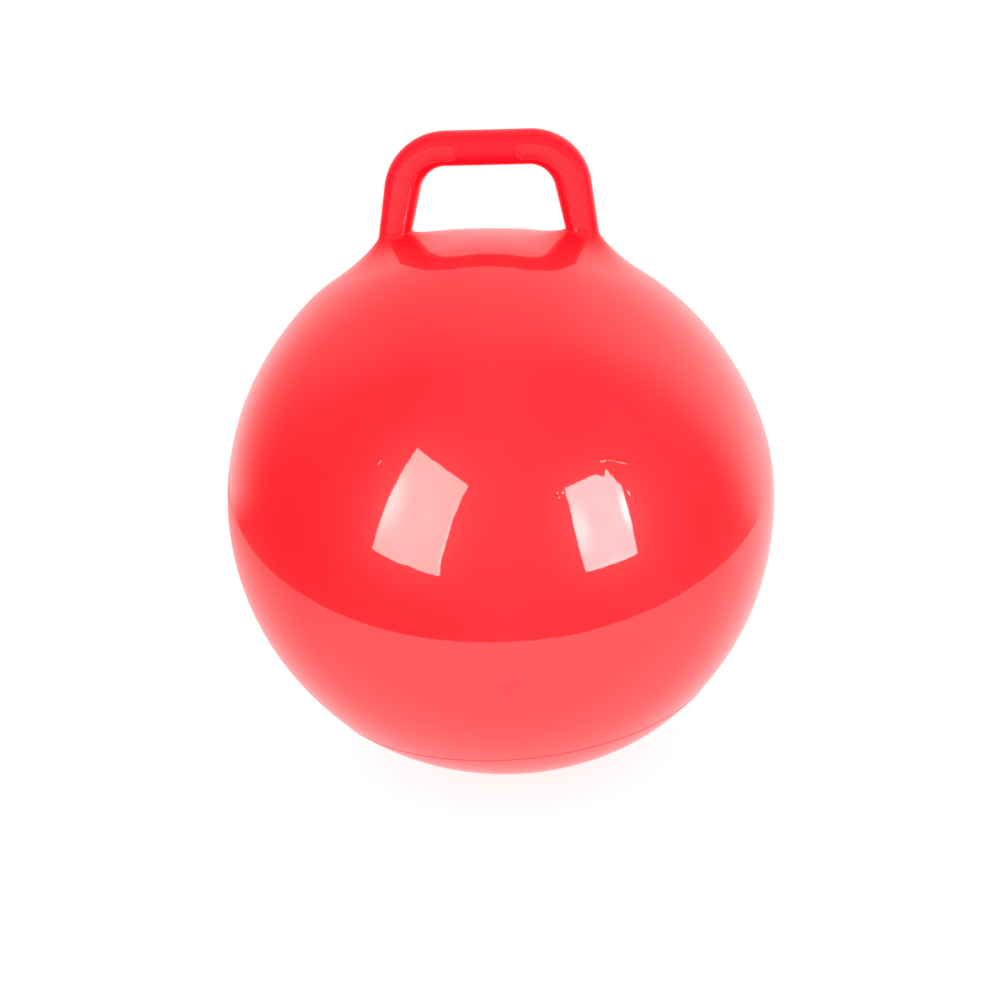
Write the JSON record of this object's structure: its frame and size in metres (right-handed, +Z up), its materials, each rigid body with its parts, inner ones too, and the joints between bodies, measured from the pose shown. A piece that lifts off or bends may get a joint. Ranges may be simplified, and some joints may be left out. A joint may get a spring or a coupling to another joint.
{
  "type": "hopper ball",
  "caption": "Inflated ride-on hopper ball with a hollow D-shaped handle on flared roots, sunk grip panels, a mould parting bead and a stoppered air valve behind.",
  "frame": {"origin": "middle of the flat patch on which the ball rests, on the floor", "axes": "+Z up through the ball to the handle, X along the handle's bar, -Y the front, +Y the side of the valve"},
  "size_m": [0.4399, 0.44, 0.5133],
  "materials": {
    "ball_pvc": "glossy soft PVC, rotationally moulded",
    "handle_pvc": "glossy soft PVC with finely pebbled grip panels",
    "bush_pvc": "glossy soft PVC",
    "stopper": "satin polyethylene"
  },
  "bodies": {
    "ball": {"ball_skin": "ball_pvc", "handle": "handle_pvc", "valve_bush": "bush_pvc"},
    "stopper": {"valve_plug": "stopper"}
  },
  "joints": [
    {"name": "stopper_pull", "type": "slide", "parent": "ball", "child": "stopper", "axis": [0, 0.766, 0.6428], "range_m": [0, 0.03]}
  ]
}
